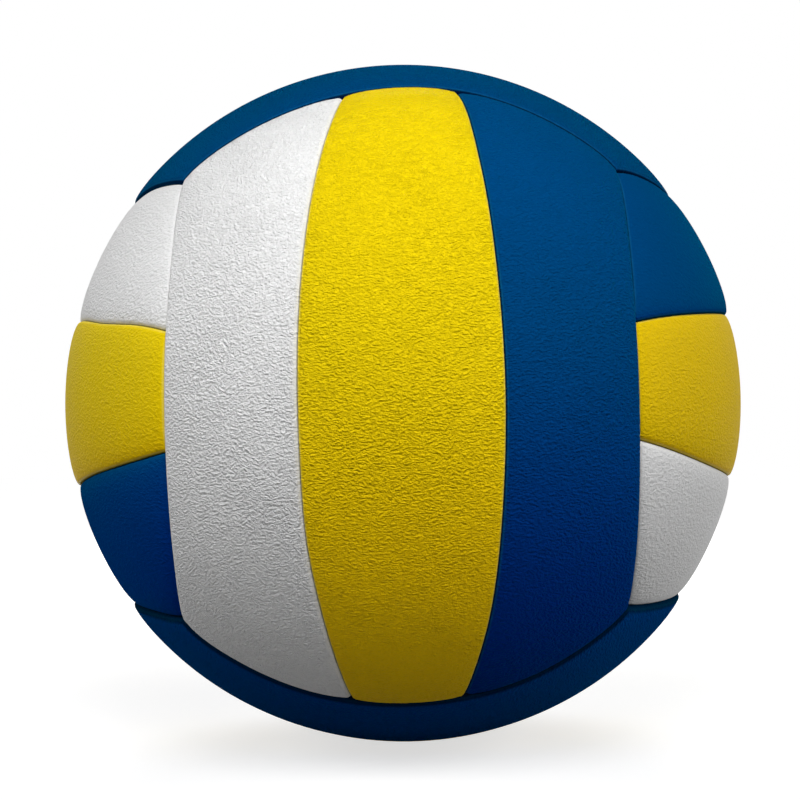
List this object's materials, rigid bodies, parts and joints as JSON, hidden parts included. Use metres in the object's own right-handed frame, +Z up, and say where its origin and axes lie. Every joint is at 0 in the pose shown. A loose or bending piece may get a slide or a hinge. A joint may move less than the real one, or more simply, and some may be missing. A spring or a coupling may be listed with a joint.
{
  "type": "volleyball",
  "caption": "Indoor volleyball: sewn, foam-backed synthetic leather panels in white, yellow and blue strips over a bladder with a needle valve.",
  "frame": {"origin": "centre of the ball, which is the centre of its box", "axes": "+Y out of the ball through the valve, away from the pictured side; -Y towards the viewer; +X to the viewer's right; +Z up"},
  "size_m": [0.21, 0.2099, 0.21],
  "materials": {
    "white_leather": "fine wrinkled grain, semi-matte",
    "yellow_leather": "fine wrinkled grain, semi-matte",
    "blue_leather": "fine wrinkled grain, semi-matte",
    "foam": "closed-cell foam",
    "lining_cloth": "plain woven cotton and polyester",
    "thread": "twisted polyester",
    "bladder_rubber": "smooth butyl, slightly dusty",
    "valve_rubber": "moulded, satin",
    "plug_rubber": "soft, satin"
  },
  "bodies": {
    "root": {"front_left_cover": "white_leather", "front_middle_cover": "yellow_leather", "front_right_cover": "blue_leather", "back_left_cover": "blue_leather", "back_middle_cover": "yellow_leather", "back_right_cover": "white_leather", "left_top_cover": "white_leather", "left_middle_cover": "yellow_leather", "left_bottom_cover": "blue_leather", "right_top_cover": "blue_leather", "right_middle_cover": "yellow_leather", "right_bottom_cover": "white_leather", "top_front_cover": "blue_leather", "top_middle_cover": "yellow_leather", "top_back_cover": "white_leather", "bottom_front_cover": "blue_leather", "bottom_middle_cover": "yellow_leather", "bottom_back_cover": "white_leather", "front_left_foam": "foam", "front_middle_foam": "foam", "front_right_foam": "foam", "back_left_foam": "foam", "back_middle_foam": "foam", "back_right_foam": "foam", "left_top_foam": "foam", "left_middle_foam": "foam", "left_bottom_foam": "foam", "right_top_foam": "foam", "right_middle_foam": "foam", "right_bottom_foam": "foam", "top_front_foam": "foam", "top_middle_foam": "foam", "top_back_foam": "foam", "bottom_front_foam": "foam", "bottom_middle_foam": "foam", "bottom_back_foam": "foam", "front_left_lining": "lining_cloth", "front_middle_lining": "lining_cloth", "front_right_lining": "lining_cloth", "back_left_lining": "lining_cloth", "back_middle_lining": "lining_cloth", "back_right_lining": "lining_cloth", "left_top_lining": "lining_cloth", "left_middle_lining": "lining_cloth", "left_bottom_lining": "lining_cloth", "right_top_lining": "lining_cloth", "right_middle_lining": "lining_cloth", "right_bottom_lining": "lining_cloth", "top_front_lining": "lining_cloth", "top_middle_lining": "lining_cloth", "top_back_lining": "lining_cloth", "bottom_front_lining": "lining_cloth", "bottom_middle_lining": "lining_cloth", "bottom_back_lining": "lining_cloth", "seam_thread": "thread", "bladder": "bladder_rubber", "valve_body": "valve_rubber", "valve_plug": "plug_rubber", "valve_patch": "bladder_rubber"}
  },
  "joints": []
}
